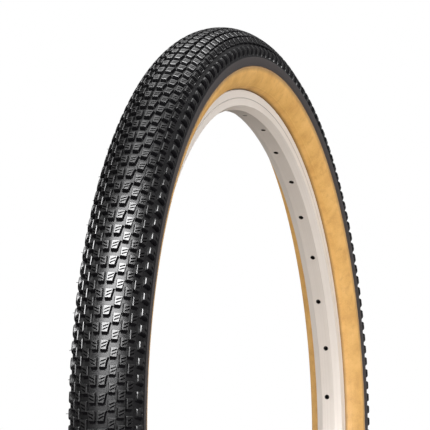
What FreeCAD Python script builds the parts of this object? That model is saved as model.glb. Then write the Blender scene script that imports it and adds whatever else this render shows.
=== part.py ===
import FreeCAD, Part
import math
import os

# Bicycle tyre, 26 x 2.20 (ETRTO 56-559), on its double-wall rim, with inner tube and valve.
# Millimetres. Origin at the wheel centre, spin axis along Y, +Z up; "left" is the +Y side.
# Ring sections are drawn as (r, y): radius from the spin axis, then axial offset.
# Names ending in _R are radii, _Y axial places, _T thicknesses, _S distances from the wheel
# centre along the valve axis. Wheel angles run from +X towards +Z.

Vector = FreeCAD.Vector
ORIGIN = Vector(0, 0, 0)
X_AXIS = Vector(1, 0, 0)
Y_AXIS = Vector(0, 1, 0)
Z_AXIS = Vector(0, 0, 1)
SIDES = (1, -1)                # +Y side, -Y side
os.makedirs("parts", exist_ok=True)

# ---------------------------------------------------------------- shared dimensions
# Spoke holes and the angles that follow from them
SPOKE_COUNT = 36
SPOKE_PITCH_DEG = 360.0 / SPOKE_COUNT
FIRST_SPOKE_DEG = 2.06
VALVE_DEG = FIRST_SPOKE_DEG + 26.5 * SPOKE_PITCH_DEG   # midway between two spoke holes
JOINT_DEG = VALVE_DEG - 180.0                          # rim joint, opposite the valve

# Carcass reference curve, the outside of the sidewall: a main arc over the crown and a
# tighter tangent arc below it on each side. Layers are placed by their inward offset from it.
MAIN_CENTRE_R = 307.9
MAIN_ARC_R = 26.6
TANGENT_DEG = 125.0            # where the lower arcs take over
LOW_ARC_R = 16.2
LOW_CENTRE_R = MAIN_CENTRE_R + (MAIN_ARC_R - LOW_ARC_R) * math.cos(math.radians(TANGENT_DEG))
LOW_CENTRE_Y = (MAIN_ARC_R - LOW_ARC_R) * math.sin(math.radians(TANGENT_DEG))

# Layers
GAP = 0.06                     # room left between layers that are bonded in a real tyre
SKIN_T = 1.0                   # tan sidewall rubber
PLY_T = 0.55
BREAKER_T = 0.47
OUTER_PLY = (SKIN_T + GAP / 2, SKIN_T + GAP / 2 + PLY_T)         # offsets of the two faces
INNER_PLY = (OUTER_PLY[1] + GAP, OUTER_PLY[1] + GAP + PLY_T)
BREAKER_IN = SKIN_T - GAP / 2                                    # offset of the inner face
BREAKER_OUT = BREAKER_IN - BREAKER_T
BREAKER_DEG = 54.5             # half angle of the breaker
TREAD_EDGE_R = 304.2           # black rubber stops, tan sidewall begins

# Bead wire, and the inner ply that passes inside it and turns up outside
BEAD_R = 281.85
BEAD_Y = 7.45
BEAD_WIRE_R = 1.2
WRAP_MID_R = BEAD_WIRE_R + 0.05 + PLY_T / 2      # middle of the ply, round the wire
BEND_MID_R = LOW_CENTRE_Y - (BEAD_Y - WRAP_MID_R)  # middle of the ply, in the bend above it
BEND_CENTRE_R = LOW_CENTRE_R - (LOW_ARC_R - 0.5 * sum(INNER_PLY)) - BEND_MID_R


# ---------------------------------------------------------------- helpers
def section_point(point):
    return Vector(point[0], point[1], 0)


def on_arc(centre_r, centre_y, radius, deg):
    """Point on an arc; 0 degrees points away from the spin axis, 90 towards +Y."""
    angle = math.radians(deg)
    return (centre_r + radius * math.cos(angle), centre_y + radius * math.sin(angle))


def line(start, end):
    return Part.LineSegment(section_point(start), section_point(end)).toShape()


def polyline(points):
    return [line(start, end) for start, end in zip(points, points[1:])]


def arc_through(start, middle, end):
    return Part.Arc(section_point(start), section_point(middle), section_point(end)).toShape()


def arc(centre_r, centre_y, radius, from_deg, to_deg):
    degs = (from_deg, 0.5 * (from_deg + to_deg), to_deg)
    return arc_through(*[on_arc(centre_r, centre_y, radius, deg) for deg in degs])


def edges_face(edges):
    return Part.Face(Part.Wire(Part.__sortEdges__(edges)))


def polygon_face(points):
    return Part.Face(Part.makePolygon([section_point(point) for point in points + points[:1]]))


def rectangle_face(in_r, out_r, half_width):
    return polygon_face([(in_r, -half_width), (in_r, half_width),
                         (out_r, half_width), (out_r, -half_width)])


def mirrored(half):
    """Close a +Y half outline with its mirror image."""
    return half + [(r, -y) for r, y in reversed(half)]


def ring(face, deg=360.0):
    """Revolve a section about the spin axis."""
    return face.revolve(ORIGIN, Y_AXIS, deg)


def at_angle(shape, deg):
    """Turn a shape drawn on +X to a wheel angle."""
    turned_shape = shape.copy()
    turned_shape.rotate(ORIGIN, Y_AXIS, -deg)
    return turned_shape


def sector(face, half_deg, middle_deg):
    """Part of a ring, centred on a wheel angle."""
    return at_angle(ring(face, 2 * half_deg), middle_deg + half_deg)


def radial_drill(radius, start_r, length, deg=VALVE_DEG, y=0):
    """Cylinder pointing outwards along a spoke or the valve, for cutting holes."""
    return at_angle(Part.makeCylinder(radius, length, Vector(start_r, y, 0), X_AXIS), deg)


def export(shape, name):
    shape.exportStep("parts/" + name + ".step")


def export_pair(left, name):
    """Write a +Y ring, then the same ring on the -Y side by a half turn about Z."""
    right = left.copy()
    right.rotate(ORIGIN, Z_AXIS, 180.0)
    export(left, name + "_left")
    export(right, name + "_right")


# ---------------------------------------------------------------- rim
BED_R = 269.0                  # spoke bed, facing the hub
BED_T = 1.6
RIM_HALF_WIDTH = 11.9          # outside, across the brake tracks
FLANGE_R = 285.5               # top of the rim flange
FLANGE_IN_Y = 9.9              # inner face of the flange
FLANGE_OUT_BEVEL = 0.4
FLANGE_IN_BEVEL = 0.3
BEAD_SEAT_R = 279.4            # nominal 559 mm bead seat diameter
WEAR_R = 278.6                 # wear-indicator groove in the brake track
WEAR_DEPTH = 0.35
WEAR_HALF_WIDTH = 0.4

# +Y halves of the rim and of the hollow in it, (r, y) from the hub side outwards
RIM_HALF = [
    (BED_R, 5.9),                                    # spoke bed
    (272.5, RIM_HALF_WIDTH),                         # sloping flank meets the brake track
    (WEAR_R - WEAR_HALF_WIDTH, RIM_HALF_WIDTH),
    (WEAR_R, RIM_HALF_WIDTH - WEAR_DEPTH),
    (WEAR_R + WEAR_HALF_WIDTH, RIM_HALF_WIDTH),
    (FLANGE_R - FLANGE_OUT_BEVEL, RIM_HALF_WIDTH),
    (FLANGE_R, RIM_HALF_WIDTH - FLANGE_OUT_BEVEL),
    (FLANGE_R, FLANGE_IN_Y + FLANGE_IN_BEVEL),
    (FLANGE_R - FLANGE_IN_BEVEL, FLANGE_IN_Y),
    (BEAD_SEAT_R, FLANGE_IN_Y),
    (BEAD_SEAT_R, 7.2),                              # inner end of the bead seat
    (276.3, 4.8),                                    # bottom of the drop well
]
CAVITY = mirrored([(BED_R + BED_T, 5.6), (273.4, 10.4), (278.0, 10.4), (278.0, 7.9), (274.9, 5.5)])

SPOKE_STAGGER = 1.0            # holes sit alternately either side of the middle
# Drills: radius, start radius and length
SPOKE_DRILL = (2.25, 266.5, 6.0)    # spoke bed
ACCESS_DRILL = (3.5, 274.0, 4.0)    # larger holes in the bridge wall, for the nipple driver
VALVE_DRILL = (4.25, 265.0, 16.0)   # both walls

JOINT_HALF_DEG = 4.0
JOINT_CLEARANCE = 0.06

STRIP_IN_R = 276.36
STRIP_OUT_R = 276.96
STRIP_HALF_WIDTH = 4.55
STRIP_DRILL = (4.2, 274.0, 6.0)


def make_rim():
    rim = ring(polygon_face(mirrored(RIM_HALF))).cut(ring(polygon_face(CAVITY)))
    drills = []
    for k in range(SPOKE_COUNT):
        y = SPOKE_STAGGER if k % 2 == 0 else -SPOKE_STAGGER
        deg = FIRST_SPOKE_DEG + k * SPOKE_PITCH_DEG
        drills.append(radial_drill(*SPOKE_DRILL, deg=deg, y=y))
        drills.append(radial_drill(*ACCESS_DRILL, deg=deg, y=y))
    drills.append(radial_drill(*VALVE_DRILL))
    return rim.cut(Part.makeCompound(drills))


def inset(points, distance):
    """Move each side of a counter-clockwise polygon inwards."""
    moved = []
    for i, (x, y) in enumerate(points):
        last_x, last_y = points[i - 1]
        next_x, next_y = points[(i + 1) % len(points)]
        length_in = math.hypot(x - last_x, y - last_y)
        length_out = math.hypot(next_x - x, next_y - y)
        # inward normals of the sides before and after this corner
        in_x, in_y = (last_y - y) / length_in, (x - last_x) / length_in
        out_x, out_y = (y - next_y) / length_out, (next_x - x) / length_out
        scale = distance / (1 + in_x * out_x + in_y * out_y)
        moved.append((x + scale * (in_x + out_x), y + scale * (in_y + out_y)))
    return moved


def make_joint_sleeve():
    """Sleeve in the box section, joining the two ends of the rolled extrusion."""
    outline = inset(CAVITY[::-1], JOINT_CLEARANCE)   # CAVITY itself runs clockwise
    return sector(polygon_face(outline), JOINT_HALF_DEG, JOINT_DEG)


def make_rim_strip():
    """Strip in the well, over the access holes."""
    strip = ring(rectangle_face(STRIP_IN_R, STRIP_OUT_R, STRIP_HALF_WIDTH))
    return strip.cut(radial_drill(*STRIP_DRILL))


export(make_rim(), "rim")
export(make_joint_sleeve(), "rim_joint_sleeve")
export(make_rim_strip(), "rim_strip")


# ---------------------------------------------------------------- carcass
PLY_TURNUP_R = 284.6           # where the inner ply ends outside the bead
CHAFER_IN_T = WRAP_MID_R + PLY_T / 2 + GAP   # chafer faces, from the bead centre
CHAFER_OUT_T = 2.40
CHAFER_TUBE_END_R = 282.4      # end on the tube side
CHAFER_RIM_END_R = 285.3       # end on the flange side
SKIN_TOP_R = TREAD_EDGE_R - 0.07
SKIN_END_DEG = 173.7           # on the lower arc, at the rim flange


def on_main(offset, deg):
    return on_arc(MAIN_CENTRE_R, 0, MAIN_ARC_R - offset, deg)


def main_arc(offset, from_deg, to_deg):
    return arc(MAIN_CENTRE_R, 0, MAIN_ARC_R - offset, from_deg, to_deg)


def main_deg_at(r, offset):
    """Angle at which the offset main arc reaches a radius from the spin axis."""
    return math.degrees(math.acos((r - MAIN_CENTRE_R) / (MAIN_ARC_R - offset)))


def on_low(offset, deg, side=1):
    return on_arc(LOW_CENTRE_R, LOW_CENTRE_Y * side, LOW_ARC_R - offset, deg * side)


def low_arc(offset, end_deg, side=1):
    return arc(LOW_CENTRE_R, LOW_CENTRE_Y * side, LOW_ARC_R - offset,
               TANGENT_DEG * side, end_deg * side)


def carcass_arcs(offset):
    """The whole offset curve, down to where it faces the spin axis on both sides."""
    crown = main_arc(offset, -TANGENT_DEG, TANGENT_DEG)
    return [crown] + [low_arc(offset, 180.0, side) for side in SIDES]


def bend_arc(radius, side):
    """Reverse bend that leads from the lower arc in towards the bead."""
    return arc(BEND_CENTRE_R, LOW_CENTRE_Y * side, radius, 0.0, -90.0 * side)


def bead_arc(radius, side=1):
    """Half circle under the bead wire, from the tube side to the flange side."""
    return arc(BEAD_R, BEAD_Y * side, radius, -90.0 * side, -270.0 * side)


def make_outer_ply():
    """Ply over the crown and both sidewalls, ending above the beads."""
    edges = carcass_arcs(OUTER_PLY[0]) + carcass_arcs(OUTER_PLY[1])
    for side in SIDES:
        edges.append(line(*[on_low(offset, 180.0, side) for offset in OUTER_PLY]))
    return ring(edges_face(edges))


def ply_tail(shift, side):
    """One face of the inner ply below the lower arc, and its end point.

    shift is half the ply thickness, positive for the face towards the tube.
    """
    bend = BEND_MID_R + shift
    wrap = WRAP_MID_R + shift
    end = (PLY_TURNUP_R, (BEAD_Y + wrap) * side)
    edges = [
        bend_arc(bend, side),
        line((BEND_CENTRE_R, (LOW_CENTRE_Y - bend) * side), (BEAD_R, (BEAD_Y - wrap) * side)),
        bead_arc(wrap, side),
        line((BEAD_R, (BEAD_Y + wrap) * side), end),
    ]
    return edges, end


def make_inner_ply():
    """Ply that runs down inside each bead wire, round it and a short way up outside."""
    edges = carcass_arcs(INNER_PLY[0]) + carcass_arcs(INNER_PLY[1])
    for side in SIDES:
        tube_face, tube_end = ply_tail(PLY_T / 2, side)
        bead_face, bead_end = ply_tail(-PLY_T / 2, side)
        edges += tube_face + bead_face + [line(tube_end, bead_end)]
    return ring(edges_face(edges))


def make_bead_core():
    circle = Part.makeCircle(BEAD_WIRE_R, section_point((BEAD_R, BEAD_Y)), Z_AXIS)
    return ring(Part.Face(Part.Wire(circle)))


def make_chafer():
    """U-shaped strip between the bead and the rim."""
    def leg(end_r, direction):
        return polyline([
            (BEAD_R, BEAD_Y + direction * CHAFER_IN_T),
            (end_r, BEAD_Y + direction * CHAFER_IN_T),
            (end_r, BEAD_Y + direction * CHAFER_OUT_T),
            (BEAD_R, BEAD_Y + direction * CHAFER_OUT_T),
        ])

    edges = [bead_arc(CHAFER_IN_T)] + leg(CHAFER_RIM_END_R, 1)
    edges += [bead_arc(CHAFER_OUT_T)] + leg(CHAFER_TUBE_END_R, -1)
    return ring(edges_face(edges))


def make_sidewall():
    """Tan skin from the tread edge to the rim flange."""
    out_deg = main_deg_at(SKIN_TOP_R, 0)
    in_deg = main_deg_at(SKIN_TOP_R, SKIN_T)
    return ring(edges_face([
        main_arc(0, out_deg, TANGENT_DEG),
        low_arc(0, SKIN_END_DEG),
        line(on_low(0, SKIN_END_DEG), on_low(SKIN_T, SKIN_END_DEG)),
        low_arc(SKIN_T, SKIN_END_DEG),
        main_arc(SKIN_T, in_deg, TANGENT_DEG),
        line(on_main(SKIN_T, in_deg), on_main(0, out_deg)),
    ]))


def make_breaker():
    """Strip under the tread."""
    edges = [main_arc(offset, -BREAKER_DEG, BREAKER_DEG) for offset in (BREAKER_IN, BREAKER_OUT)]
    for side in SIDES:
        deg = BREAKER_DEG * side
        edges.append(line(on_main(BREAKER_IN, deg), on_main(BREAKER_OUT, deg)))
    return ring(edges_face(edges))


export(make_outer_ply(), "casing_ply_outer")
export(make_inner_ply(), "casing_ply_inner")
export_pair(make_bead_core(), "bead_core")
export_pair(make_chafer(), "chafer")
export_pair(make_sidewall(), "sidewall")
export(make_breaker(), "breaker_strip")

# ---------------------------------------------------------------- tread
# Ridge tops lie on an ellipse; the tyre's outer radius is 337.5 mm.
TOP_CENTRE_R = 310.7
TOP_AXIAL = 27.8               # half axes of the ellipse
TOP_RADIAL = 26.8
GROOVE_DEPTH = 2.4
BAND_DEPTH = 0.4               # plain band outside the last ridge, below the ellipse
STEP_DEG = BREAKER_DEG + 0.5   # step in the underside, just past the breaker edge
# Ridges, in degrees of the ellipse from the crown: inner foot, top from, top to, outer foot
RIDGES = [
    (3.1, 3.8, 18.1, 18.6),
    (18.9, 19.5, 32.3, 32.9),
    (33.5, 34.4, 46.1, 46.7),
    (47.4, 50.2, 62.1, 62.7),
    (64.0, 67.4, 82.0, 83.6),
]


def on_top(deg, depth=0.0):
    angle = math.radians(deg)
    return (TOP_CENTRE_R + (TOP_RADIAL - depth) * math.cos(angle),
            (TOP_AXIAL - depth) * math.sin(angle))


def top_arc(from_deg, to_deg, depth):
    middle_deg = 0.5 * (from_deg + to_deg)
    return arc_through(*[on_top(deg, depth) for deg in (from_deg, middle_deg, to_deg)])


def tread_outside(side):
    """Outline from the crown groove to the tread edge on one side, and its end point."""
    edges = []
    last_foot = 0.0
    for ridge in RIDGES:
        foot_in, top_in, top_out, foot_out = [deg * side for deg in ridge]
        foot_depth = BAND_DEPTH if ridge == RIDGES[-1] else GROOVE_DEPTH
        edges.append(top_arc(last_foot, foot_in, GROOVE_DEPTH))
        edges.append(line(on_top(foot_in, GROOVE_DEPTH), on_top(top_in)))
        edges.append(top_arc(top_in, top_out, 0))
        edges.append(line(on_top(top_out), on_top(foot_out, foot_depth)))
        last_foot = foot_out
    edge_cos = (TREAD_EDGE_R - TOP_CENTRE_R) / (TOP_RADIAL - BAND_DEPTH)
    edge_deg = math.degrees(math.acos(edge_cos)) * side
    edges.append(top_arc(last_foot, edge_deg, BAND_DEPTH))
    return edges, on_top(edge_deg, BAND_DEPTH)


def make_tread():
    """Tread, lying over the breaker at the crown and on the ply beyond it."""
    crown_offset = BREAKER_OUT - GAP
    under_edge_deg = main_deg_at(TREAD_EDGE_R, BREAKER_IN)
    edges = [main_arc(crown_offset, -STEP_DEG, STEP_DEG)]
    for side in SIDES:
        outside, tip = tread_outside(side)
        step, under_edge = STEP_DEG * side, under_edge_deg * side
        edges += outside
        edges.append(line(tip, on_main(BREAKER_IN, under_edge)))
        edges.append(main_arc(BREAKER_IN, step, under_edge))
        edges.append(line(on_main(BREAKER_IN, step), on_main(crown_offset, step)))
    return ring(edges_face(edges))


export(make_tread(), "tread")

# ---------------------------------------------------------------- inner tube
TUBE_T = 0.9
TUBE_OFFSET = 2.24             # outside of the tube, from the carcass reference curve
TUBE_BOTTOM_R = 277.6
TUBE_BOTTOM_HALF_WIDTH = 3.3
TUBE_CORNER_RISE = 1.6         # height of the sloping bottom corner
TUBE_NECK_Y = 4.92             # between the beads
TUBE_LEDGE_R = 283.3           # short slope from the bend into the neck
TUBE_NECK_TOP_R = 282.7
TUBE_SLOPE_SHIFT = 0.3         # outward shift of that slope per mm of wall
TUBE_DRILL = (2.75, 275.0, 6.0)


def tube_solid(wall):
    """The tube's outside form, drawn in by the given wall thickness."""
    offset = TUBE_OFFSET + wall
    bend = LOW_CENTRE_R - (LOW_ARC_R - offset) - BEND_CENTRE_R
    shift = TUBE_SLOPE_SHIFT * wall
    bottom_r = TUBE_BOTTOM_R + wall
    neck = [
        (BEND_CENTRE_R, LOW_CENTRE_Y - bend),
        (TUBE_LEDGE_R + shift, LOW_CENTRE_Y - bend),
        (TUBE_NECK_TOP_R + shift, TUBE_NECK_Y - wall),
        (TUBE_BOTTOM_R + TUBE_CORNER_RISE, TUBE_NECK_Y - wall),
        (bottom_r, TUBE_BOTTOM_HALF_WIDTH),
    ]
    edges = [main_arc(offset, -TANGENT_DEG, TANGENT_DEG)]
    for side in SIDES:
        edges += [low_arc(offset, 180.0, side), bend_arc(bend, side)]
        edges += polyline([(r, y * side) for r, y in neck])
    edges.append(line((bottom_r, TUBE_BOTTOM_HALF_WIDTH), (bottom_r, -TUBE_BOTTOM_HALF_WIDTH)))
    return ring(edges_face(edges))


export(tube_solid(0.0).cut(tube_solid(TUBE_T)).cut(radial_drill(*TUBE_DRILL)), "inner_tube")

# ---------------------------------------------------------------- Schrader valve
PATCH_IN_R = 277.02
PATCH_OUT_R = 277.54
PATCH_HALF_WIDTH = 4.0
PATCH_HALF_DEG = 3.1
PATCH_DRILL = (2.7, 274.0, 6.0)

STEM_FOOT_S = 279.3
STEM_MOUTH_S = 238.0
MOUTH_R = 3.85                 # 7.7 mm valve mouth
COVER_R = 4.05                 # rubber-covered stem
COVER_END_S = 249.1
SHOULDER_S = COVER_END_S - 0.1  # where the bare stem widens, just below the rubber
PIN_R = 0.6

# Pieces turned about the valve axis: closed outlines of (station, radius)
VALVE_TURNINGS = {
    # rubber cover of the stem, through both walls of the rim
    "valve_stem_rubber": [
        (276.9, 2.66), (276.9, COVER_R), (262.0, COVER_R), (251.0, 3.95),
        (COVER_END_S, 3.6), (COVER_END_S, 2.66),
    ],
    # brass stem: foot inside the tube, mouth at the other end
    "valve_stem": [
        (STEM_FOOT_S, 1.8), (STEM_FOOT_S, 3.1), (278.62, 3.1), (278.62, 2.6),
        (SHOULDER_S, 2.6), (SHOULDER_S, 3.3), (248.2, MOUTH_R),
        (STEM_MOUTH_S + 0.5, MOUTH_R), (STEM_MOUTH_S, MOUTH_R - 0.5),
        (STEM_MOUTH_S, 2.68), (246.0, 2.68), (247.6, 1.8),
    ],
    # valve core: plug and barrel in one piece
    "valve_core_barrel": [
        (239.2, 0.68), (239.2, 1.6), (240.0, 1.6), (240.0, 2.6), (243.4, 2.6), (243.4, 1.7),
        (255.2, 1.7), (255.2, 0.68), (254.0, 0.68), (254.0, 1.28), (243.7, 1.28), (243.7, 0.68),
    ],
    "valve_core_gasket": [
        (244.0, 1.74), (244.0, 2.55), (245.6, 2.55), (246.4, 2.2), (246.4, 1.74),
    ],
    # pin with its spring collar and the plate that carries the seal
    "valve_core_pin": [
        (238.5, 0), (238.5, PIN_R), (244.2, PIN_R), (244.2, 1.2), (244.8, 1.2), (244.8, PIN_R),
        (256.45, PIN_R), (256.45, 1.35), (257.0, 1.35), (257.0, 0),
    ],
    "valve_core_seal": [(255.26, 0.63), (255.26, 1.45), (256.4, 1.45), (256.4, 0.63)],
    # sealing ring inside the cap
    "valve_cap_gasket": [(237.65, 1.3), (237.65, 3.6), (237.94, 3.6), (237.94, 1.3)],
}

SPRING_START_S = 244.98
SPRING_END_S = 253.82
SPRING_WIRE_R = 0.2
SPRING_COIL_R = 0.96
SPRING_PITCH = 1.1

CAP_R = 4.9
CAP_END_S = 236.2
CAP_OPEN_S = 248.2
CAP_BORE_R = 3.93
CAP_FLOOR_S = 237.6
FLUTE_COUNT = 12
FLUTE_R = 0.55
FLUTE_LENGTH = 9.0
FLUTE_START_S = CAP_END_S - 1.0
FLUTE_CENTRE_R = CAP_R + 0.1


def turned(outline):
    """Solid of revolution about the valve axis, still lying on +X."""
    return polygon_face(outline).revolve(ORIGIN, X_AXIS, 360.0)


def make_patch():
    """Patch moulded to the tube around the stem."""
    face = rectangle_face(PATCH_IN_R, PATCH_OUT_R, PATCH_HALF_WIDTH)
    return sector(face, PATCH_HALF_DEG, VALVE_DEG).cut(radial_drill(*PATCH_DRILL))


def make_spring():
    """Spring between the pin's collar and the closed end of the barrel."""
    height = SPRING_END_S - SPRING_START_S - 2 * SPRING_WIRE_R
    helix = Part.makeHelix(SPRING_PITCH, height, SPRING_COIL_R)
    wire_circle = Part.makeCircle(SPRING_WIRE_R, Vector(SPRING_COIL_R, 0, 0), Y_AXIS)
    spring = Part.Wire(helix).makePipeShell([Part.Wire(wire_circle)], True, True)
    if spring.ShapeType != "Solid":   # the sweep may come back as a closed shell
        spring = Part.Solid(spring)
    spring.rotate(ORIGIN, Y_AXIS, 90)
    spring.translate(Vector(SPRING_START_S + SPRING_WIRE_R, 0, 0))
    return spring


def make_cap():
    """Cap with grip flutes."""
    cap = turned([
        (CAP_END_S, 0), (CAP_END_S, 3.6), (CAP_END_S + 1.2, CAP_R),
        (CAP_OPEN_S - 0.4, CAP_R), (CAP_OPEN_S, CAP_R - 0.4),
        (CAP_OPEN_S, CAP_BORE_R), (CAP_FLOOR_S, CAP_BORE_R), (CAP_FLOOR_S, 0),
    ])
    flutes = []
    for k in range(FLUTE_COUNT):
        start = Vector(FLUTE_START_S, FLUTE_CENTRE_R, 0)
        flute = Part.makeCylinder(FLUTE_R, FLUTE_LENGTH, start, X_AXIS)
        flute.rotate(ORIGIN, X_AXIS, k * 360.0 / FLUTE_COUNT)
        flutes.append(flute)
    return cap.cut(Part.makeCompound(flutes))


export(make_patch(), "valve_patch")
for name, outline in VALVE_TURNINGS.items():
    export(at_angle(turned(outline), VALVE_DEG), name)
export(at_angle(make_spring(), VALVE_DEG), "valve_core_spring")
export(at_angle(make_cap(), VALVE_DEG), "valve_cap")
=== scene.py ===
"""Bicycle wheel rim with a knobbed tyre, tan sidewalls and a tube valve, in a white studio.

The wheel spins about the Y axis through the origin, with Z up. +X is the front, which the
camera sees, and +Y is the left side. Wheel angles run from +X towards +Z. Sizes of the meshes
are in millimetres; materials, lights and the camera are in metres.
"""

import math
import bmesh
import bpy
import numpy as np
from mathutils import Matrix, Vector


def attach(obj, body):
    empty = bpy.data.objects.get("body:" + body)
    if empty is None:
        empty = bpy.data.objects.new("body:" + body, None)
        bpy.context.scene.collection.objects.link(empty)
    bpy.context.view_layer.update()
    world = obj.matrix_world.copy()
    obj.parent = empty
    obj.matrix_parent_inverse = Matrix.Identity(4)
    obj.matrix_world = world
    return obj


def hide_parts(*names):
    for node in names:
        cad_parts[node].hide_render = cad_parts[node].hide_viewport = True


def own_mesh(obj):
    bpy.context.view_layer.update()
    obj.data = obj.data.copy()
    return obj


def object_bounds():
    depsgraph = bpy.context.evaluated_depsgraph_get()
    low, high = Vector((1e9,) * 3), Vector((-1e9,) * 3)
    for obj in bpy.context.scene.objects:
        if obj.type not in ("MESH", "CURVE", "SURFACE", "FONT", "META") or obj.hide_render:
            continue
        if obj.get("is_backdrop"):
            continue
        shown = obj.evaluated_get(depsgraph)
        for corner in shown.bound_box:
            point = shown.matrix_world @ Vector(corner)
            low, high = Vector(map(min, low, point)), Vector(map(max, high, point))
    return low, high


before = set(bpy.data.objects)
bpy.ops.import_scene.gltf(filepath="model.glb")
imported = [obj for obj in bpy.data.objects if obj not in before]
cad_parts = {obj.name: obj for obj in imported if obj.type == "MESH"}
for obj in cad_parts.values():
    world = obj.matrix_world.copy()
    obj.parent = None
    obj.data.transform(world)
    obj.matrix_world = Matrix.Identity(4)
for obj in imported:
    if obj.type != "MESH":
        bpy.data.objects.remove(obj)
size_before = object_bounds()

MM = 0.001
LEFT, RIGHT = 1, -1          # sign of y

# Carcass section: an upper arc, carried on below LOW_DEG by a tighter arc tangent to it.
# Section angles are in degrees from the crown.
CARCASS_CENTRE = 307.9       # wheel radius of the upper arc's centre
CARCASS_ARC = 26.6
LOW_ARC = 16.2
LOW_DEG = 125.0
LOW_CENTRE = CARCASS_CENTRE + (CARCASS_ARC - LOW_ARC) * math.cos(math.radians(LOW_DEG))
LOW_CENTRE_Y = (CARCASS_ARC - LOW_ARC) * math.sin(math.radians(LOW_DEG))
SKIN = 1.0                   # thickness of the sidewall skin
RIB_LOW, RIB_HIGH = 288.5, 303.1     # wheel radii of the two moulded ribs

# Tread envelope: an ellipse through the tops of the blocks.
ENV_CENTRE = 310.7
ENV_HALF_Y = 27.8
ENV_HALF_R = 26.8
TREAD_EDGE = 304.2           # wheel radius of the tread's edges
EDGE_DEPTH = 0.40            # depths are measured inwards from the envelope
BAND_DEPTH = 0.42            # smooth band beside the outermost blocks
BLOCK_HEIGHT = 2.4
SLIT_DEPTH = 1.0
PITCHES = 170                # repeats of the tread pattern round the wheel
PITCH = 2 * math.pi * (ENV_CENTRE + ENV_HALF_R) / PITCHES
MM_PER_DEG = (ENV_HALF_Y + ENV_HALF_R) / 2 * math.pi / 180.0


# ---------------------------------------------------------------- node helpers
class Graph:
    """A cleared node tree with short ways to add nodes; methods return output sockets."""

    def __init__(self, tree):
        self.tree = tree
        tree.nodes.clear()

    def node(self, kind, **settings):
        made = self.tree.nodes.new(kind)
        for key, value in settings.items():
            setattr(made, key, value)
        return made

    def feed(self, socket, value):
        """Link an output socket, or set a plain value."""
        if isinstance(value, bpy.types.NodeSocket):
            self.tree.links.new(value, socket)
        else:
            socket.default_value = value

    def math(self, operation, *values):
        made = self.node("ShaderNodeMath", operation=operation)
        for socket, value in zip(made.inputs, values):
            self.feed(socket, value)
        return made.outputs[0]

    def weighted(self, first, first_weight, second, second_weight):
        return self.math("ADD", self.math("MULTIPLY", first, first_weight),
                         self.math("MULTIPLY", second, second_weight))

    def remap(self, value, span, out, interpolation="LINEAR"):
        """Map the range span onto the range out."""
        made = self.node("ShaderNodeMapRange", interpolation_type=interpolation)
        for socket, limit in zip(made.inputs[1:5], (*span, *out)):
            socket.default_value = limit
        self.feed(made.inputs[0], value)
        return made.outputs[0]

    def coords(self):
        texture = self.node("ShaderNodeTexCoord")
        mapping = self.node("ShaderNodeMapping")
        self.feed(mapping.inputs[0], texture.outputs["Object"])
        return mapping.outputs[0]

    def polar(self):
        """Radius about the spin axis, wheel angle in radians, and y."""
        texture = self.node("ShaderNodeTexCoord")
        split = self.node("ShaderNodeSeparateXYZ")
        self.feed(split.inputs[0], texture.outputs["Object"])
        x, y, z = split.outputs
        return self.hypotenuse(x, z), self.math("ARCTAN2", z, x), y

    def hypotenuse(self, first, second):
        return self.math("SQRT", self.math("ADD", self.math("MULTIPLY", first, first),
                                           self.math("MULTIPLY", second, second)))

    def noise(self, vector, scale, detail, rough=0.55):
        made = self.node("ShaderNodeTexNoise")
        made.inputs["Scale"].default_value = scale
        made.inputs["Detail"].default_value = detail
        made.inputs["Roughness"].default_value = rough
        self.feed(made.inputs["Vector"], vector)
        return made.outputs["Fac"]

    def ramp(self, value, stops):
        """Colour ramp; a stop is (position, rgb)."""
        made = self.node("ShaderNodeValToRGB")
        elements = made.color_ramp.elements
        while len(elements) > 1:
            elements.remove(elements[-1])
        elements[0].position = stops[0][0]
        elements[0].color = (*stops[0][1], 1)
        for position, rgb in stops[1:]:
            elements.new(position).color = (*rgb, 1)
        self.feed(made.inputs[0], value)
        return made.outputs[0]

    def ring_mask(self, radius, centre, half, strength):
        """strength at the radius centre, falling to 0 at half a width to either side."""
        gap = self.math("ABSOLUTE", self.math("SUBTRACT", radius, centre))
        peak = self.remap(gap, span=(0.0, half), out=(1.0, 0.0))
        return self.math("MULTIPLY", peak, strength)

    def tint(self, colour, mask, rgb):
        """Mix towards rgb where mask is high."""
        made = self.node("ShaderNodeMixRGB", blend_type="MIX")
        self.feed(made.inputs[0], mask)
        self.feed(made.inputs[1], colour)
        made.inputs[2].default_value = (*rgb, 1)
        return made.outputs[0]


class Surface(Graph):
    """A new material with one Principled shader."""

    def __init__(self, name):
        self.material = bpy.data.materials.new(name)
        self.material.use_nodes = True
        super().__init__(self.material.node_tree)
        output = self.node("ShaderNodeOutputMaterial")
        self.shader = self.node("ShaderNodeBsdfPrincipled")
        self.feed(output.inputs[0], self.shader.outputs[0])

    def put(self, name, value):
        self.feed(self.shader.inputs[name], value)

    def bump(self, height, distance):
        made = self.node("ShaderNodeBump")
        made.inputs["Distance"].default_value = distance
        made.inputs["Strength"].default_value = 1.0
        self.feed(made.inputs["Height"], height)
        self.put("Normal", made.outputs[0])


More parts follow.
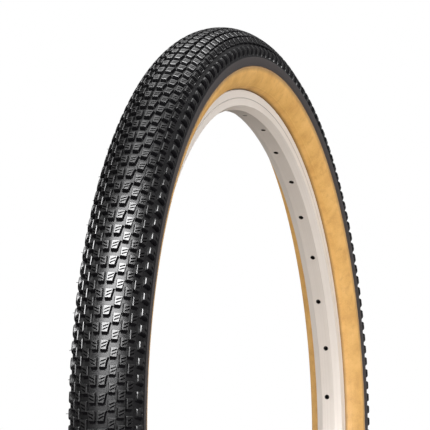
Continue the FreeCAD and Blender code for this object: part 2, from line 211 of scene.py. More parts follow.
# ---------------------------------------------------------------- materials
# name, dark rgb, light rgb, roughness range, speckle scale, bump distance, metallic, specular
SPECKLED = (
    ("tread_rubber", (0.006, 0.006, 0.007), (0.012, 0.0115, 0.013), (0.26, 0.36),
     1500.0, 0.00002, 0.0, 0.5),
    ("band_rubber", (0.030, 0.024, 0.024), (0.044, 0.036, 0.037), (0.36, 0.48),
     1400.0, 0.00003, 0.0, 1.0),
    # darker, duller copy of the tread rubber: painted shade on the floor between the blocks
    ("shaded_floor_rubber", (0.005, 0.005, 0.006), (0.010, 0.0095, 0.011), (0.32, 0.42),
     1300.0, 0.00003, 0.0, 0.26),
    # darker copy of the tread rubber with almost no gloss: painted shade on the block walls and
    # in the slits
    ("shaded_wall_rubber", (0.004, 0.004, 0.005), (0.008, 0.0075, 0.009), (0.45, 0.60),
     1300.0, 0.00003, 0.0, 0.02),
    ("inner_rubber", (0.010, 0.010, 0.010), (0.022, 0.021, 0.020), (0.55, 0.70),
     1200.0, 0.00004, 0.0, 0.5),
    ("tube_rubber", (0.012, 0.012, 0.012), (0.026, 0.025, 0.024), (0.50, 0.66),
     800.0, 0.00004, 0.0, 0.5),
    ("strip_rubber", (0.02, 0.02, 0.02), (0.04, 0.038, 0.036), (0.55, 0.7),
     900.0, 0.00004, 0.0, 0.5),
    ("cord_fabric", (0.30, 0.24, 0.15), (0.46, 0.38, 0.25), (0.7, 0.85),
     1100.0, 0.00006, 0.0, 0.5),
    ("chafer_fabric", (0.020, 0.018, 0.016), (0.05, 0.045, 0.04), (0.7, 0.85),
     1600.0, 0.00008, 0.0, 0.5),
    ("bead_wire", (0.35, 0.29, 0.20), (0.52, 0.44, 0.33), (0.28, 0.42),
     1500.0, 0.00003, 1.0, 0.5),
    ("sleeve_aluminium", (0.50, 0.50, 0.50), (0.66, 0.66, 0.67), (0.35, 0.5),
     700.0, 0.00003, 1.0, 0.5),
    ("brass", (0.52, 0.38, 0.16), (0.68, 0.52, 0.25), (0.22, 0.36),
     1800.0, 0.00001, 1.0, 0.5),
    ("steel", (0.40, 0.40, 0.40), (0.58, 0.58, 0.58), (0.25, 0.4),
     1800.0, 0.00001, 1.0, 0.5),
    ("seal_rubber", (0.20, 0.02, 0.016), (0.32, 0.04, 0.03), (0.5, 0.65),
     1800.0, 0.00004, 0.0, 0.5),
    ("cap_plastic", (0.010, 0.010, 0.011), (0.020, 0.020, 0.021), (0.36, 0.5),
     1500.0, 0.00004, 0.0, 0.5),
)


def speckled(name, dark, light, rough, scale, distance, metallic, specular):
    """Fine speckle over broader clouds, between two colours."""
    surface = Surface(name)
    vector = surface.coords()
    fine = surface.noise(vector, scale=scale, detail=5.0)
    broad = surface.noise(vector, scale=scale * 0.06, detail=3.0)
    speckle = surface.weighted(fine, 0.55, broad, 0.45)
    surface.put("Base Color", surface.ramp(speckle, [(0.3, dark), (0.7, light)]))
    surface.put("Roughness", surface.remap(fine, span=(0.3, 0.7), out=rough))
    surface.put("Metallic", metallic)
    surface.put("Specular IOR Level", specular)
    surface.bump(fine, distance)
    return surface.material


def make_tan():
    """Tan sidewall rubber with a faint crossed weave of cord threads."""
    mean_radius = 0.295
    thread_spacing = 0.0011
    surface = Surface("tan_rubber")
    radius, angle, _ = surface.polar()
    vector = surface.coords()
    broad = surface.noise(vector, scale=55.0, detail=3.0)
    fine = surface.noise(vector, scale=900.0, detail=4.0)

    arc = surface.math("MULTIPLY", angle, mean_radius)
    threads = []
    for operation in ("ADD", "SUBTRACT"):
        diagonal = surface.math(operation, arc, surface.math("MULTIPLY", radius, 1.0))
        phase = surface.math("MULTIPLY", diagonal, 2 * math.pi / thread_spacing)
        threads.append(surface.math("SINE", phase))
    cloth = surface.weighted(threads[0], 0.5, threads[1], 0.3)

    colour = surface.ramp(surface.weighted(broad, 0.7, fine, 0.3), [
        (0.30, (0.55, 0.295, 0.082)),
        (0.50, (0.675, 0.385, 0.115)),
        (0.70, (0.76, 0.455, 0.155)),
    ])
    # uneven, slightly stained skin
    stain = surface.noise(vector, scale=130.0, detail=4.0, rough=0.65)
    blotch = surface.remap(stain, span=(0.52, 0.70), out=(0.0, 0.42))
    colour = surface.tint(colour, blotch, (0.46, 0.24, 0.07))
    # painted contact shade where the skin meets the rim flange
    foot = surface.remap(radius, span=(0.2868, 0.2857), out=(0.0, 0.88))
    colour = surface.tint(colour, foot, (0.10, 0.055, 0.03))
    # paler line along the upper rib, then painted shade in a dark margin beside the tread
    rib = surface.ring_mask(radius, centre=RIB_HIGH * MM, half=0.0006, strength=0.35)
    colour = surface.tint(colour, rib, (0.80, 0.56, 0.36))
    tread_margin_shade = surface.ring_mask(radius, centre=0.3044, half=0.0046, strength=0.80)
    colour = surface.tint(colour, tread_margin_shade, (0.17, 0.105, 0.06))

    surface.put("Base Color", colour)
    surface.put("Roughness", surface.remap(fine, span=(0.3, 0.7), out=(0.55, 0.72)))
    surface.put("Specular IOR Level", 0.35)
    height = surface.math("ADD", surface.math("MULTIPLY", cloth, 0.5), fine)
    surface.bump(height, 0.00003)
    return surface.material


def make_rim():
    """Aluminium brushed round the wheel."""
    mean_radius = 0.277
    grain_along, grain_across = 6.0, 1400.0      # noise cells per metre
    surface = Surface("rim_aluminium")
    radius, angle, y = surface.polar()
    arc = surface.math("MULTIPLY", angle, mean_radius)
    stretched = [surface.math("MULTIPLY", value, grain) for value, grain in (
        (arc, grain_along), (radius, grain_across), (y, grain_across))]
    joined = surface.node("ShaderNodeCombineXYZ")
    for socket, value in zip(joined.inputs, stretched):
        surface.feed(socket, value)
    brushed = surface.noise(joined.outputs[0], scale=1.0, detail=4.0, rough=0.6)
    cloud = surface.noise(surface.coords(), scale=30.0, detail=3.0)
    colour = surface.ramp(surface.weighted(brushed, 0.6, cloud, 0.4), [
        (0.3, (0.70, 0.645, 0.60)),
        (0.7, (0.79, 0.735, 0.69)),
    ])
    # shadowed groove of the wear indicator
    groove = surface.ring_mask(radius, centre=0.2786, half=0.0007, strength=0.62)
    colour = surface.tint(colour, groove, (0.28, 0.27, 0.26))
    # painted shade inside the drilled holes and the box section
    near_middle = surface.remap(surface.math("ABSOLUTE", y),
                                span=(0.0052, 0.0056), out=(1.0, 0.0))
    beyond_wall = surface.remap(radius, span=(0.26915, 0.26935), out=(0.0, 1.0))
    inside = surface.math("MULTIPLY", near_middle, beyond_wall)
    colour = surface.tint(colour, inside, (0.045, 0.035, 0.028))

    surface.put("Base Color", colour)
    surface.put("Metallic", 0.15)
    surface.put("Specular IOR Level", 0.25)
    surface.put("Roughness", surface.remap(brushed, span=(0.3, 0.7), out=(0.36, 0.50)))
    surface.bump(brushed, 0.00002)
    return surface.material


MATERIALS = {entry[0]: speckled(*entry) for entry in SPECKLED}
MATERIALS["tan_rubber"] = make_tan()
MATERIALS["rim_aluminium"] = make_rim()


# ---------------------------------------------------------------- mesh helpers
def add_to_wheel(mesh, replaced=None):
    """Object from a mesh, turning with the wheel."""
    made = bpy.data.objects.new(mesh.name, mesh)
    bpy.context.scene.collection.objects.link(made)
    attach(made, "wheel")
    if replaced:
        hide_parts(replaced)
    return made


def quad_mesh(name, points, quads, materials, smooth_angle, material_index=None):
    """Mesh of quads, smooth but for edges sharper than smooth_angle degrees."""
    mesh = bpy.data.meshes.new(name)
    points = np.asarray(points, np.float32)
    quads = np.asarray(quads, np.int32)
    mesh.vertices.add(len(points))
    mesh.vertices.foreach_set("co", points.ravel())
    mesh.loops.add(quads.size)
    mesh.loops.foreach_set("vertex_index", quads.ravel())
    mesh.polygons.add(len(quads))
    mesh.polygons.foreach_set("loop_start", np.arange(len(quads), dtype=np.int32) * 4)
    mesh.polygons.foreach_set("loop_total", np.full(len(quads), 4, np.int32))
    for name in materials:
        mesh.materials.append(MATERIALS[name])
    if material_index is not None:
        mesh.polygons.foreach_set("material_index", material_index)
    mesh.update(calc_edges=True)
    mesh.validate()
    mesh.polygons.foreach_set("use_smooth", np.ones(len(mesh.polygons), bool))
    mesh.set_sharp_from_angle(angle=math.radians(smooth_angle))
    return mesh


def face_mesh(name, points, faces, material):
    """Smooth mesh of any faces, turned to face outwards."""
    work = bmesh.new()
    corners = [work.verts.new(point) for point in points]
    for face in faces:
        work.faces.new([corners[i] for i in face])
    bmesh.ops.recalc_face_normals(work, faces=work.faces)
    mesh = bpy.data.meshes.new(name)
    work.to_mesh(mesh)
    work.free()
    mesh.polygons.foreach_set("use_smooth", np.ones(len(mesh.polygons), bool))
    mesh.materials.append(MATERIALS[material])
    return mesh


def tube_faces(first, rings, sides):
    """Faces of a capped tube whose rings of points start at index first."""
    faces = []
    for ring in range(rings - 1):
        low = first + ring * sides
        for j in range(sides):
            after = (j + 1) % sides
            faces.append((low + j, low + after, low + sides + after, low + sides + j))
    last = first + (rings - 1) * sides
    faces.append([first + j for j in reversed(range(sides))])
    faces.append([last + j for j in range(sides)])
    return faces


def ring_points(radius, y, angles):
    """Points of a ring about the spin axis, in metres."""
    return np.stack([radius * np.cos(angles), y + 0 * angles, radius * np.sin(angles)], -1) * MM


def closed_quads(rings, columns):
    """Quads of a grid that closes on itself both ways."""
    i, j = np.meshgrid(np.arange(rings), np.arange(columns), indexing="ij")
    next_i, next_j = (i + 1) % rings, (j + 1) % columns
    corners = (i, j), (i, next_j), (next_i, next_j), (next_i, j)
    return np.stack([a * columns + b for a, b in corners], -1).reshape(-1, 4)


def arc_point(centre, centre_y, radius, angle):
    """(wheel radius, y) on a section arc; angle in radians."""
    return centre + radius * math.cos(angle), centre_y + radius * math.sin(angle)


# ---------------------------------------------------------------- tread pattern
# A cell is one block as a grid of (along, across, depth, kind). Along is in pitches from the
# block's middle, across in section degrees. Rows run away from the crown, columns towards
# larger wheel angles. The low side of a block is the one at smaller wheel angles.
CELL_COLUMNS = 16
COLUMNS = CELL_COLUMNS * PITCHES
TOP, FLOOR, WALL = 0, 1, 2
FOOT_ROWS = ("foot in", "foot out")
FOOT_DRAFT = 0.20            # run of the wall on the crown side
CROWN_BORDER = 2.6           # where the patterns of the two sides meet, left of the middle


def envelope_point(across, depth):
    """(wheel radius, y) at a depth below the envelope."""
    angle = np.radians(across)
    return (ENV_CENTRE + (ENV_HALF_R - depth) * np.cos(angle),
            (ENV_HALF_Y - depth) * np.sin(angle))


def smooth_step(value):
    value = np.clip(value, 0.0, 1.0)
    return value * value * (3 - 2 * value)


def floor_depth(across):
    """Depth of the tread floor, which rises to the smooth band."""
    first_rise = 0.4
    return (BLOCK_HEIGHT - first_rise * smooth_step((across - 60.0) / 14.0)
            + (BAND_DEPTH - BLOCK_HEIGHT + first_rise) * smooth_step((across - 80.0) / 8.5))


def block_cell(start, end, end_low, chamfer, draft_out=0.55, length=0.56, tilt=0.0):
    """Block with two slits, from start to end across (end_low on its low side).
    chamfer is (width, depth) of its crown-side edge; tilt lowers its far end."""
    width, drop = chamfer
    low_draft, high_draft = 1.15 / PITCH, 0.35 / PITCH
    bevel, bevel_depth = 0.26 / PITCH, 0.22
    shear = 0.34
    low = 0.02 - length / 2
    # kind, fraction across the block, extra mm across
    rows = (
        ("foot in", 0.0, -width - FOOT_DRAFT), ("edge in", 0.0, -width), ("top", 0.0, 0.0),
        ("top", 0.13, 0.0), ("slit", 0.18, 0.0), ("slit", 0.50, 0.0), ("slit", 0.82, 0.0),
        ("top", 0.87, 0.0), ("top", 1.0, -0.30), ("edge out", 1.0, 0.0),
        ("foot out", 1.0, draft_out),
    )
    # kind, fraction along the block, extra pitches along
    columns = (
        ("floor", 0.0, -low_draft - 0.07), ("foot", 0.0, -low_draft), ("edge", 0.0, 0.0),
        ("top", 0.0, bevel), ("top", 0.250, 0), ("slit", 0.290, 0), ("slit", 0.372, 0),
        ("top", 0.412, 0), ("top", 0.588, 0), ("slit", 0.628, 0), ("slit", 0.710, 0),
        ("top", 0.750, 0), ("top", 1.0, -bevel), ("edge", 1.0, 0.0),
        ("foot", 1.0, high_draft), ("floor", 1.0, high_draft + 0.09),
    )

    def point(row, column):
        row_kind, outward, extra_mm = row
        column_kind, forward, extra_pitches = column
        along = low + length * forward + extra_pitches
        if 0 < forward < 1:
            along += shear * (outward - 0.5) * length
        far_end = end_low + (end - end_low) * forward
        across = start + (far_end - start) * outward + extra_mm / MM_PER_DEG

        beside = column_kind in ("foot", "floor")
        in_slit = row_kind == column_kind == "slit"
        if beside or row_kind in FOOT_ROWS:
            kind = FLOOR
            if beside and forward == 0 and row_kind not in FOOT_ROWS:
                kind = WALL
            if row_kind == "foot out" and not beside:
                kind = WALL
            return along, across, floor_depth(across), kind
        if row_kind == "edge in":
            depth = drop + (bevel_depth if column_kind == "edge" else 0.0)
        elif row_kind == "edge out":
            depth = bevel_depth * (1.5 if column_kind == "edge" else 1.0)
        elif column_kind == "edge":
            depth = bevel_depth
        else:
            depth = SLIT_DEPTH if in_slit else 0.0
        return along, across, depth + tilt * outward, WALL if in_slit else TOP

    return np.array([[point(row, column) for column in columns] for row in rows])


def knob_cell(start, end, chamfer, proud=0.0, soft=1.0):
    """Shoulder knob: one rounded piece, forked into two ribs towards the smooth band.
    proud raises its middle; soft scales the rounding of its sides."""
    width, drop = chamfer
    draft = 0.45 / PITCH
    outer_round, inner_round = 0.55 / PITCH, 1.35 / PITCH
    groove_depth, lip_depth = 1.7, 0.28
    rounding = {"edge": 0.95, "round": 0.30}
    # kind, fraction across the knob, extra mm across
    rows = (
        ("foot in", 0.0, -width - FOOT_DRAFT), ("edge in", 0.0, -width), ("top", 0.0, 0.0),
        ("top", 0.20, 0.0), ("top", 0.42, 0.0), ("groove", 0.50, 0.0), ("groove", 0.66, 0.0),
        ("groove", 0.82, 0.0), ("groove", 0.93, 0.0), ("groove", 1.0, 0.0),
        ("foot out", 1.0, 1.1),
    )
    # kind, fraction along the knob, extra pitches along
    columns = (
        ("floor", 0.0, -draft - 0.03), ("foot", 0.0, -draft), ("edge", 0.0, 0.0),
        ("round", 0.0, outer_round), ("top", 0.0, inner_round), ("top", 0.375, 0),
        ("lip", 0.415, 0), ("groove", 0.450, 0), ("groove", 0.550, 0), ("lip", 0.585, 0),
        ("top", 0.625, 0), ("top", 1.0, -inner_round), ("round", 1.0, -outer_round),
        ("edge", 1.0, 0.0), ("foot", 1.0, draft), ("floor", 1.0, draft + 0.03),
    )

    def point(row, column):
        row_kind, outward, extra_mm = row
        column_kind, forward, extra_pitches = column
        half = 0.285 + 0.070 * outward
        along = -half + 2 * half * forward + extra_pitches
        across = start + (end - start) * outward + extra_mm / MM_PER_DEG

        crest = (-proud * math.sin(math.pi * min(1.0, outward / 0.85))
                 + 0.32 * max(0.0, outward - 0.8) / 0.2)
        floor = float(floor_depth(across))
        edge = rounding.get(column_kind, 0.0) * soft
        at_foot = row_kind in FOOT_ROWS or column_kind in ("foot", "floor")
        if at_foot:
            depth = floor
        elif row_kind == "edge in":
            depth = drop + edge
        elif row_kind == column_kind == "groove":
            depth = min(floor, groove_depth)
        elif column_kind == "lip":
            depth = crest + (lip_depth if row_kind == "groove" else 0.0)
        else:
            depth = min(crest + edge, floor)
        kind = FLOOR if at_foot else TOP
        if row_kind not in FOOT_ROWS and forward == 0 and column_kind != "top":
            kind = WALL
        return along, across, depth, kind

    return np.array([[point(row, column) for column in columns] for row in rows])


KNOB_MIDDLE = 0.745
# Per side, from the crown out: middle of a block in pitches from the +X axis, section angle
# of the floor border beyond the block, cell.
SIDES = {
    LEFT: (
        (0.522, 19.9, block_cell(start=5.5, end=17.6, end_low=14.3, chamfer=(0.30, 0.34),
                                 draft_out=1.0)),
        (0.121, 33.95, block_cell(start=20.98, end=32.5, end_low=29.9, chamfer=(0.30, 0.34),
                                  draft_out=0.65)),
        (0.711, 47.85, block_cell(start=35.1, end=46.6, end_low=45.0, chamfer=(0.34, 0.38),
                                  length=0.58)),
        (0.230, 64.6, block_cell(start=49.5, end=61.0, end_low=59.8, chamfer=(0.42, 0.45),
                                 length=0.60, tilt=0.70)),
        (KNOB_MIDDLE, 88.3, knob_cell(start=68.0, end=83.0, chamfer=(0.40, 0.45), proud=0.65)),
    ),
    RIGHT: (
        (0.522, 12.35, block_cell(start=-0.3, end=11.6, end_low=8.7, chamfer=(0.28, 0.34),
                                  draft_out=0.30)),
        (0.035, 26.0, block_cell(start=13.45, end=25.2, end_low=22.6, chamfer=(0.30, 0.36),
                                 draft_out=0.30)),
        (0.630, 37.95, block_cell(start=27.1, end=36.6, end_low=35.1, chamfer=(0.30, 0.36),
                                  draft_out=0.60, length=0.58)),
        (0.200, 55.6, block_cell(start=39.4, end=52.8, end_low=51.5, chamfer=(0.30, 0.36),
                                 length=0.60)),
        (KNOB_MIDDLE, 88.3, knob_cell(start=58.6, end=82.5, chamfer=(0.24, 0.32), soft=0.4)),
    ),
}
EDGE_DEG = math.degrees(math.acos((TREAD_EDGE - ENV_CENTRE) / (ENV_HALF_R - EDGE_DEPTH)))
# section angle and depth of the smooth band's rows
BAND_ROWS = ((90.5, 0.43), (94.5, 0.44), (99.0, 0.42), (EDGE_DEG - 0.7, EDGE_DEPTH))


# ---------------------------------------------------------------- tread
def side_rows(side):
    """Rows from the crown to one edge: (along, across, depth, kinds) over all columns."""
    columns = np.arange(COLUMNS)

    def plain_row(across, depth, kind):
        return columns / CELL_COLUMNS, across, depth, np.full(COLUMNS, kind)

    rows = []
    if side == LEFT:
        rows.append(plain_row(CROWN_BORDER, floor_depth(CROWN_BORDER), FLOOR))
    cell_middle = (CELL_COLUMNS - 1) / 2
    for middle, border, cell in SIDES[side]:
        # shift the cell's columns so that its middle falls near the block's middle
        shift = int(round(middle * CELL_COLUMNS - cell_middle)) % CELL_COLUMNS
        wraps = round(middle - (shift + cell_middle) / CELL_COLUMNS)
        pitch, column = np.divmod(columns - shift, CELL_COLUMNS)
        for along, across, depth, kinds in cell.transpose(0, 2, 1):
            rows.append((pitch + middle - wraps + along[column],
                         across[column], depth[column], kinds[column]))
        rows.append(plain_row(border, floor_depth(border), FLOOR))
    for across, depth in BAND_ROWS:
        rows.append(plain_row(across, depth, TOP))
    return rows


def tread_inside():
    """(wheel radius, y) from the left edge in to the carcass and on towards the crown."""
    arc = CARCASS_ARC - SKIN + 0.03
    crown_arc = arc + 0.53
    edge_y = (ENV_HALF_Y - BAND_DEPTH) * math.sin(math.radians(EDGE_DEG))
    first = math.degrees(math.acos((TREAD_EDGE - CARCASS_CENTRE) / arc))
    points = [(TREAD_EDGE + 0.02, edge_y), (TREAD_EDGE, edge_y - 0.25)]
    for radius, angles in ((arc, (first, 90.0, 80.0, 70.0, 60.0, 55.0)),
                           (crown_arc, (54.9, 40.0, 25.0, 10.0))):
        for angle in angles:
            points.append(arc_point(CARCASS_CENTRE, 0.0, radius, math.radians(angle)))
    return points


def build_tread():
    """Outer surface from the right edge to the left, then back along the inside."""
    rings, kinds = [], []      # rings of (wheel radius, y, along)
    for side, rows in ((RIGHT, reversed(side_rows(RIGHT))), (LEFT, side_rows(LEFT))):
        for along, across, depth, row_kinds in rows:
            radius, y = envelope_point(across, depth)
            rings.append((radius, side * y, along))
            kinds.append(row_kinds)
    outer = len(rings)
    left_half = tread_inside()
    for radius, y in left_half + [(radius, -y) for radius, y in reversed(left_half)]:
        rings.append((radius, y, np.arange(COLUMNS) / CELL_COLUMNS))
        kinds.append(np.zeros(COLUMNS))
    total = len(rings)
    points = np.concatenate([ring_points(radius, y, along / PITCHES * 2 * math.pi)
                             for radius, y, along in rings])
    quads = closed_quads(total, COLUMNS)

    materials = ("tread_rubber", "band_rubber", "inner_rubber", "shaded_floor_rubber", "shaded_wall_rubber")
    tread, band, inner, floor, wall = range(5)
    corners = np.concatenate(kinds)[quads]
    # quads with no corner on a top take the floor rubber, which paints shade into the gaps
    index = np.where((corners != TOP).all(1), floor, tread).astype(np.int32)
    # quads within walls and slits, and those that climb from them to a top, take the wall
    # rubber's painted shade
    wall_corners = (corners == WALL).sum(1)
    top_corners = (corners == TOP).sum(1)
    index[((wall_corners == 2) & (top_corners == 2)) | (wall_corners == 4)] = wall
    row = np.repeat(np.arange(total), COLUMNS)
    band_rows = len(BAND_ROWS)
    index[(row < band_rows) | ((row >= outer - band_rows - 1) & (row < outer + 1))
          | (row >= total - 2)] = band
    index[(row >= outer + 2) & (row < total - 3)] = inner
    mesh = quad_mesh("tread_knobbed", points, quads, materials, 24.0, index)
    add_to_wheel(mesh, replaced="tread")


# ---------------------------------------------------------------- vent whiskers
def build_whiskers(name, side, middle_deg, length):
    """Thin leaning rubber hairs on every second shoulder knob of one side."""
    sides = 6
    random = np.random.default_rng(7 + side)
    points, faces = [], []
    for i in range(0, PITCHES, 2):
        turn = (i + KNOB_MIDDLE + random.uniform(-0.16, 0.16)) / PITCHES * 2 * math.pi
        across = math.radians(middle_deg + random.uniform(-4.0, 4.0))
        # outward normal of the envelope and two tangents
        normal_r = math.cos(across) / ENV_HALF_R
        normal_y = math.sin(across) / ENV_HALF_Y
        size = math.hypot(normal_r, normal_y)
        radial = np.array([math.cos(turn), 0.0, math.sin(turn)])
        sideways = np.array([0.0, float(side), 0.0])
        normal = radial * (normal_r / size) + sideways * (normal_y / size)
        tangent = np.array([-math.sin(turn), 0.0, math.cos(turn)])
        cross = np.cross(normal, tangent)
        base = (radial * (ENV_CENTRE + ENV_HALF_R * math.cos(across))
                + sideways * (ENV_HALF_Y * math.sin(across)))
        lean = tangent * random.uniform(-0.35, 0.35) + cross * random.uniform(-0.25, 0.25)
        tall = length * random.uniform(0.6, 1.15)
        # height above the envelope and radius of each ring
        rings = ((-0.5, 0.34), (0.0, 0.30), (0.6 * tall, 0.24), (tall, 0.17))
        faces += tube_faces(len(points), len(rings), sides)
        for height, radius in rings:
            centre = base + normal * height + lean * max(height, 0.0) ** 1.5 / tall ** 0.5
            for j in range(sides):
                angle = 2 * math.pi * j / sides
                around = math.cos(angle) * tangent + math.sin(angle) * cross
                points.append((centre + radius * around) * MM)
    add_to_wheel(face_mesh(name, points, faces, "tread_rubber"))


# ---------------------------------------------------------------- sidewalls
def build_sidewall(name, side, replaced):
    """Tan skin with two fine moulded ribs."""
    rib_width, rib_height = 0.35, 0.16
    columns = 720
    inner_step = 6             # the inner face takes every sixth station
    top = math.degrees(math.acos((TREAD_EDGE - 0.07 - CARCASS_CENTRE) / CARCASS_ARC))
    stations = [(CARCASS_CENTRE, 0.0, CARCASS_ARC, math.radians(angle))
                for angle in np.linspace(top, LOW_DEG, 40)[:-1]]
    stations += [(LOW_CENTRE, LOW_CENTRE_Y, LOW_ARC, math.radians(angle))
                 for angle in np.linspace(LOW_DEG, 173.7, 60)]
    outer, inner = [], []
    for centre, centre_y, arc, angle in stations:
        radius = centre + arc * math.cos(angle)
        rise = sum(rib_height * math.exp(-((radius - rib) / rib_width) ** 2)
                   for rib in (RIB_LOW, RIB_HIGH))
        outer.append(arc_point(centre, centre_y, arc + rise, angle))
        inner.append(arc_point(centre, centre_y, arc - SKIN, angle))
    profile = outer + [inner[-1]] + inner[::inner_step][::-1]
    angles = np.arange(columns) * 2 * math.pi / columns
    points = np.concatenate([ring_points(radius, side * y, angles) for radius, y in profile])
    quads = closed_quads(len(profile), columns)
    if side == RIGHT:
        quads = quads[:, ::-1]
    add_to_wheel(quad_mesh(name, points, quads, ("tan_rubber",), 40.0),
                 replaced=replaced)


# ---------------------------------------------------------------- valve spring
def build_valve_spring():
    """Coil along the valve axis."""
    valve_angle = math.radians(267.06)
    start, end = 244.98, 253.82        # wheel radii of the coil's ends
    wire = 0.2                         # radius of the wire
    coil = 0.96                        # radius of the coil
    rise = 1.1                         # advance per turn
    steps_per_turn, sides = 32, 10
    turns = (end - start - 2 * wire) / rise
    steps = int(turns * steps_per_turn)

    # built along +X, then turned onto the valve's angle
    turn = np.linspace(0.0, turns * 2 * math.pi, steps + 1)
    centres = np.stack([start + wire + rise * turn / (2 * math.pi),
                        coil * np.sin(turn), -coil * np.cos(turn)], -1)
    tangent = np.stack([np.full(steps + 1, rise / (2 * math.pi)),
                        coil * np.cos(turn), coil * np.sin(turn)], -1)
    tangent /= np.linalg.norm(tangent, axis=1, keepdims=True)
    outward = np.stack([np.zeros(steps + 1), np.sin(turn), -np.cos(turn)], -1)
    sideways = np.cross(tangent, outward)
    angles = (np.arange(sides) * 2 * math.pi / sides)[None, :, None]
    points = centres[:, None] + wire * (np.cos(angles) * outward[:, None]
                                        + np.sin(angles) * sideways[:, None])
    x, y, z = points.reshape(-1, 3).T
    axis_x, axis_z = math.cos(valve_angle), math.sin(valve_angle)
    points = np.stack([x * axis_x - z * axis_z, y, x * axis_z + z * axis_x], -1) * MM
    mesh = face_mesh("valve_spring_coil", points, tube_faces(0, steps + 1, sides), "steel")
    spring = add_to_wheel(mesh, replaced="valve_core_spring")
    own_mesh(spring)


# ---------------------------------------------------------------- materials of the CAD pieces
CAD_MATERIALS = {
    "cord_fabric": ("breaker_strip", "casing_ply_inner", "casing_ply_outer"),
    "chafer_fabric": ("chafer_left", "chafer_right"),
    "bead_wire": ("bead_core_left", "bead_core_right"),
    "tube_rubber": ("inner_tube", "valve_patch", "valve_stem_rubber"),
    "strip_rubber": ("rim_strip",),
    "rim_aluminium": ("rim",),
    "sleeve_aluminium": ("rim_joint_sleeve",),
    "brass": ("valve_stem", "valve_core_barrel", "valve_core_pin"),
    "seal_rubber": ("valve_core_gasket", "valve_core_seal", "valve_cap_gasket"),
    "steel": ("valve_core_spring",),
    "cap_plastic": ("valve_cap",),
}


def paint_cad_pieces():
    for material, pieces in CAD_MATERIALS.items():
        for piece in pieces:
            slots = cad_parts[piece].data.materials
            slots.clear()
            slots.append(MATERIALS[material])


# ---------------------------------------------------------------- studio
def build_world():
    """White to the camera; as light, brightest from above and from the front."""
    world = bpy.data.worlds.new("studio")
    bpy.context.scene.world = world
    world.use_nodes = True
    graph = Graph(world.node_tree)
    output = graph.node("ShaderNodeOutputWorld")
    light_path = graph.node("ShaderNodeLightPath")
    texture = graph.node("ShaderNodeTexCoord")
    split = graph.node("ShaderNodeSeparateXYZ")
    graph.feed(split.inputs[0], texture.outputs["Generated"])
    x, y, z = split.outputs
    above = graph.remap(z, span=(-0.25, 0.2), out=(0.25, 1.0), interpolation="SMOOTHSTEP")
    front = graph.remap(x, span=(-0.9, 0.6), out=(0.0, 1.0), interpolation="SMOOTHSTEP")
    left = graph.remap(y, span=(-0.25, 0.2), out=(0.0, 0.34), interpolation="SMOOTHSTEP")
    rear_left = graph.math("MULTIPLY", graph.math("SUBTRACT", 1.0, front), left)
    base = 0.10
    level = graph.math("ADD", graph.math("MULTIPLY", front, 0.70), base)
    level = graph.math("ADD", level, rear_left)
    overall = 1.0
    ambient = graph.math("MULTIPLY", graph.math("MULTIPLY", above, level), overall)
    # a little dimmer in reflections
    strength, gloss_loss = 0.62, 0.17
    loss = graph.math("MULTIPLY", light_path.outputs["Is Glossy Ray"], gloss_loss)
    ambient = graph.math("MULTIPLY", ambient, graph.math("SUBTRACT", strength, loss))

    mix = []
    for colour, power in (((1.0, 0.985, 0.97, 1), ambient), ((1, 1, 1, 1), 1.0)):
        background = graph.node("ShaderNodeBackground")
        background.inputs[0].default_value = colour
        graph.feed(background.inputs[1], power)
        mix.append(background.outputs[0])
    mixer = graph.node("ShaderNodeMixShader")
    for socket, value in zip(mixer.inputs, (light_path.outputs["Is Camera Ray"], *mix)):
        graph.feed(socket, value)
    graph.feed(output.inputs[0], mixer.outputs[0])


def build_floor():
    """Pale floor that glows white away from the wheel and casts nothing onto it."""
    surface = Surface("studio_floor")
    cloud = surface.noise(surface.coords(), scale=3.0, detail=2.0)
    surface.put("Base Color", surface.ramp(cloud, [
        (0.3, (0.86, 0.86, 0.86)),
        (0.7, (0.9, 0.9, 0.9)),
    ]))
    surface.put("Roughness", 0.8)
    split = surface.node("ShaderNodeSeparateXYZ")
    surface.feed(split.inputs[0], surface.coords())
    distance = surface.hypotenuse(split.outputs[0], split.outputs[1])
    surface.put("Emission Color", (1, 1, 1, 1))
    surface.put("Emission Strength",
                surface.remap(distance, span=(0.35, 2.2), out=(0.0, 1.0)))
    bpy.ops.mesh.primitive_plane_add(size=12.0, location=(0, 0, -0.3378))
    floor = bpy.context.object
    floor.name = "floor"
    floor.data.materials.append(surface.material)
    floor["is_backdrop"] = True
    floor.visible_glossy = False
    floor.visible_diffuse = False
    floor.visible_shadow = False


def aim(item, target):
    direction = Vector(target) - item.location
    item.rotation_euler = direction.to_track_quat("-Z", "Y").to_euler()


FRONT = (0.31, 0.0, 0.12)
CROWN = (0.12, 0.0, 0.30)
MIDDLE = (0.0, 0.0, 0.08)
WHITE, WARM, AMBER = (1, 1, 1), (1, 0.985, 0.96), (1, 0.94, 0.87)
LAMP_DISTANCE = 2.6
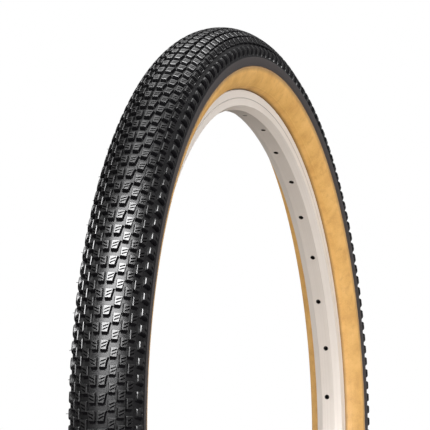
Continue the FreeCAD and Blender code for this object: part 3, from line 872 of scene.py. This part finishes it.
# Boxes show only in reflections, fills light only diffusely.
# name, target, azimuth and elevation seen from the target, width, height, watts, colour
BOXES = (
    ("front_box", FRONT, 16, 40, 3.0, 2.1, 590.0, WHITE),
    ("over_box", CROWN, 182, 60, 2.6, 1.5, 33.0, WHITE),
    ("crown_box", CROWN, 12, 82, 2.4, 1.2, 30.0, WHITE),
)
FILLS = (
    ("front_fill", MIDDLE, 12, 35, 2.4, 1.8, 6.0, WHITE),
    ("corner_fill", MIDDLE, 50, 0, 1.6, 1.6, 12.0, WHITE),
    ("side_fill", MIDDLE, 90, 12, 2.4, 2.0, 50.0, WARM),
    ("over_fill", MIDDLE, 150, 70, 1.8, 1.8, 10.0, WHITE),
    ("far_side_fill", MIDDLE, -97, 14, 2.4, 2.0, 34.0, WARM),
    ("low_fill", MIDDLE, 8, -38, 1.8, 1.4, 46.0, AMBER),
)


def build_lamp(name, target, azimuth, elevation, width, height, watts, colour, is_fill):
    azimuth, elevation = math.radians(azimuth), math.radians(elevation)
    towards = Vector((math.cos(azimuth) * math.cos(elevation),
                      math.sin(azimuth) * math.cos(elevation), math.sin(elevation)))
    light = bpy.data.lights.new(name, "AREA")
    light.shape = "RECTANGLE"
    light.size = width
    light.size_y = height
    light.energy = watts
    light.color = colour
    lamp = bpy.data.objects.new(name, light)
    lamp.location = Vector(target) + towards * LAMP_DISTANCE
    aim(lamp, target)
    bpy.context.scene.collection.objects.link(lamp)
    lamp.visible_diffuse = is_fill
    lamp.visible_glossy = not is_fill


def build_camera():
    lens = bpy.data.cameras.new("camera")
    lens.sensor_width = 36.0
    lens.lens = 181.4
    lens.clip_start = 0.05
    lens.clip_end = 50.0
    camera = bpy.data.objects.new("camera", lens)
    camera.location = (1.7308, 0.5522, -0.0255)
    aim(camera, (0.0738, 0.0, 0.1746))
    bpy.context.scene.collection.objects.link(camera)
    bpy.context.scene.camera = camera


# ---------------------------------------------------------------- build
build_tread()
build_whiskers("vent_whiskers_right", RIGHT, middle_deg=71.5, length=1.5)
build_whiskers("vent_whiskers_left", LEFT, middle_deg=74.0, length=0.8)
build_sidewall("sidewall_skin_left", LEFT, replaced="sidewall_left")
build_sidewall("sidewall_skin_right", RIGHT, replaced="sidewall_right")
build_valve_spring()
paint_cad_pieces()

bpy.context.scene.view_settings.view_transform = "Standard"
build_world()
build_floor()
for lamps, is_fill in ((BOXES, False), (FILLS, True)):
    for entry in lamps:
        build_lamp(*entry, is_fill)
build_camera()

bpy.context.view_layer.update()
size_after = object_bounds()


def plain(x):
    """Nested lists and dicts of floats, ready for JSON."""
    if isinstance(x, (list, tuple)) or hasattr(x, "__len__") and not isinstance(x, (str, dict)):
        return [plain(v) for v in x]
    if isinstance(x, dict):
        return {str(k): plain(v) for k, v in x.items()}
    return float(x)


{"cad": plain(size_before), "visual": plain(size_after)}
